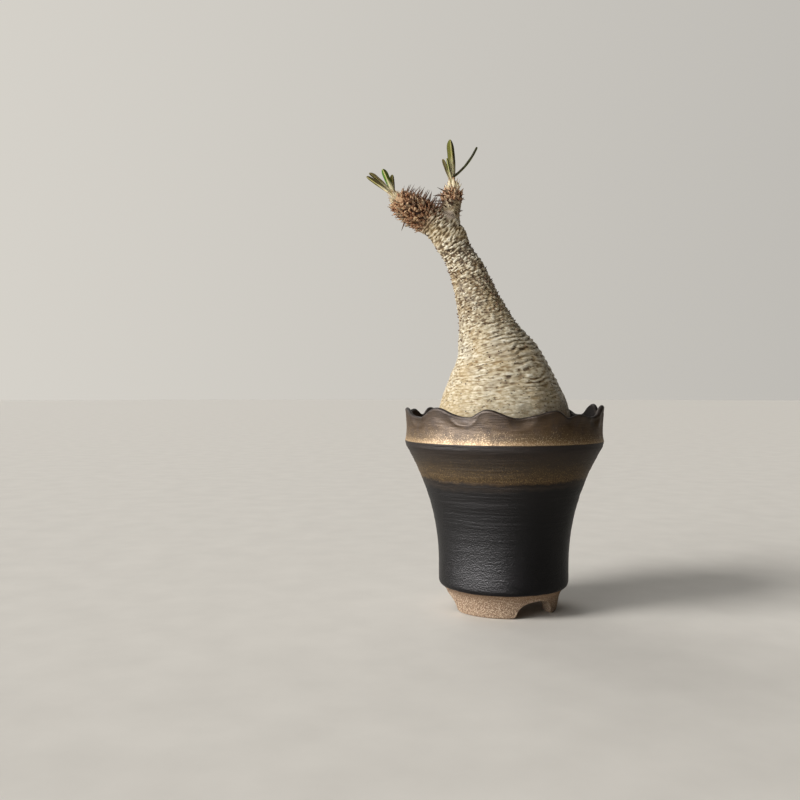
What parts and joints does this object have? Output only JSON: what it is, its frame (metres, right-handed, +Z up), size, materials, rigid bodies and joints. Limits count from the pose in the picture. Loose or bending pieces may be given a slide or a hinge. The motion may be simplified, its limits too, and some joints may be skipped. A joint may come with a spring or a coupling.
{
  "type": "potted pachypodium gracilius",
  "caption": "Bottle-stemmed spiny succulent with young leaf tufts, leaning out of a flared dark stoneware pot with a ruffled rim and a footed base.",
  "frame": {"origin": "centre of the bounding box, on the surface that the pot's feet stand on", "axes": "+Z up along the pot's axis, -Y towards the viewer of the picture, -X the side that the neck and the longer branch lean to"},
  "size_m": [0.156, 0.13, 0.3107],
  "materials": {
    "glazed_stoneware": "satin black and bronze glaze over tan stoneware, bare at the feet",
    "grit_soil": "rough mix of pumice, baked clay and lava grit",
    "net_plastic": "matt",
    "silver_bark": "silver-cream bark with pits and low knobs, reddish-brown at the spiny branch ends",
    "left_leaf": "satin green with a pale midrib, pale straw at the bud",
    "right_leaf": "satin green with a pale midrib, pale straw at the bud"
  },
  "bodies": {
    "root": {"pot": "glazed_stoneware", "soil": "grit_soil", "drain_net": "net_plastic", "caudex": "silver_bark", "left_leaf_tuft": "left_leaf", "right_leaf_tuft": "right_leaf"}
  },
  "joints": []
}
